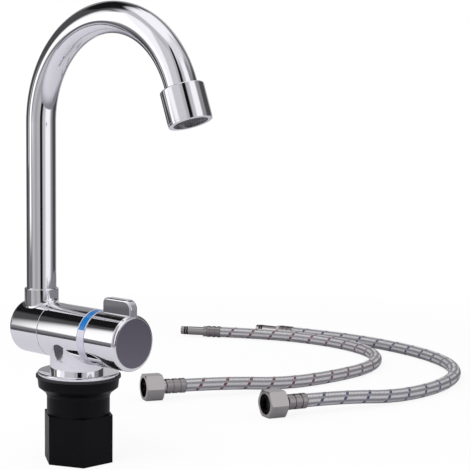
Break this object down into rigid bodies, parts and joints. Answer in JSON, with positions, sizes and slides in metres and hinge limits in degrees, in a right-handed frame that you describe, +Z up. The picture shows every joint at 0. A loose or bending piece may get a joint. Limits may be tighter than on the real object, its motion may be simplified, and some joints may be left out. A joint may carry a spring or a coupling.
{
  "type": "folding mixer tap",
  "caption": "Folding caravan mixer tap: swan-neck spout on a hub that folds sideways, end knob with a fin, round flange with a clamping nut below, and braided supply hoses laid beside it.",
  "frame": {"origin": "on the worktop, at the middle of the round flange, under the gasket", "axes": "+Z up, +X along the barrel towards the knob, -Y towards the side that the spout folds to"},
  "size_m": [0.377, 0.4929, 0.2831],
  "materials": {
    "polished_chrome": "polished chrome plate on brass",
    "satin_chrome": "satin dark chrome",
    "black_nut_plastic": "moulded black nylon",
    "black_rubber": "plain black rubber",
    "plain_brass": "machined brass",
    "nickel_brass": "nickel plate on brass",
    "stainless_steel": "plain stainless steel",
    "hose_braid": "rubber hose under a silver braid with a coloured tracer",
    "white_acetal": "plain white acetal",
    "ceramic": "lapped white ceramic",
    "grey_mesh_plastic": "plain dark grey plastic",
    "ring_grey": "light grey plastic",
    "blue_mark": "blue plastic",
    "red_mark": "red plastic"
  },
  "bodies": {
    "tap": {"tap_body": "polished_chrome", "base_flange": "polished_chrome", "worktop_gasket": "black_rubber", "threaded_shank": "plain_brass", "mounting_nut": "black_nut_plastic", "fold_journal": "plain_brass", "journal_o_rings": "black_rubber", "fold_friction_washer": "white_acetal", "fold_stop_pin": "stainless_steel", "hub_thrust_washer": "stainless_steel", "hub_retaining_screw": "stainless_steel", "cold_mark": "blue_mark", "hot_mark": "red_mark", "indicator_ring": "ring_grey", "cartridge_base": "white_acetal", "cartridge_seals": "black_rubber", "cartridge_fixed_disc": "ceramic", "cartridge_housing": "white_acetal", "cartridge_gland_nut": "plain_brass", "red_hose": "hose_braid", "red_nut_washer": "black_rubber", "red_nut_nipple": "nickel_brass", "red_nut_ferrule": "stainless_steel", "red_tail": "nickel_brass", "red_tail_o_rings": "black_rubber", "red_tail_ferrule": "stainless_steel", "blue_hose": "hose_braid", "blue_nut_washer": "black_rubber", "blue_nut_nipple": "nickel_brass", "blue_nut_ferrule": "stainless_steel", "blue_tail": "nickel_brass", "blue_tail_o_rings": "black_rubber", "blue_tail_ferrule": "stainless_steel"},
    "hub": {"spout_hub": "polished_chrome", "hub_end_cap": "polished_chrome", "spout_slide_ring": "white_acetal"},
    "spout": {"spout_tube": "polished_chrome", "spout_foot": "plain_brass", "spout_o_rings": "black_rubber", "spout_snap_ring": "stainless_steel", "spout_socket": "polished_chrome", "aerator_shell": "polished_chrome", "aerator_washer": "black_rubber", "aerator_insert": "white_acetal", "aerator_mesh": "grey_mesh_plastic"},
    "control": {"knob": "polished_chrome", "knob_end_plate": "satin_chrome", "knob_screw": "stainless_steel", "cartridge_spindle": "plain_brass", "cartridge_moving_disc": "ceramic"},
    "red_union": {"red_union_nut": "nickel_brass"},
    "blue_union": {"blue_union_nut": "nickel_brass"}
  },
  "joints": [
    {"name": "spout_fold", "type": "hinge", "parent": "tap", "child": "hub", "pos_m": [-0.02, 0, 0.027], "axis": [1, 0, 0], "range_deg": [0, 90]},
    {"name": "spout_swivel", "type": "hinge", "parent": "hub", "child": "spout", "pos_m": [-0.0353, 0, 0.048], "axis": [0, 0, 1], "continuous": true},
    {"name": "knob_turn", "type": "hinge", "parent": "tap", "child": "control", "pos_m": [0.0235, 0, 0.027], "axis": [1, 0, 0], "range_deg": [-60, 60]},
    {"name": "red_union_spin", "type": "hinge", "parent": "tap", "child": "red_union", "pos_m": [-0.08893, 0.1559, -0.0434], "axis": [-0.4586, -0.8886, 0], "continuous": true},
    {"name": "blue_union_spin", "type": "hinge", "parent": "tap", "child": "blue_union", "pos_m": [0.00887, 0.18066, -0.0434], "axis": [-0.3511, -0.9363, 0], "continuous": true}
  ]
}
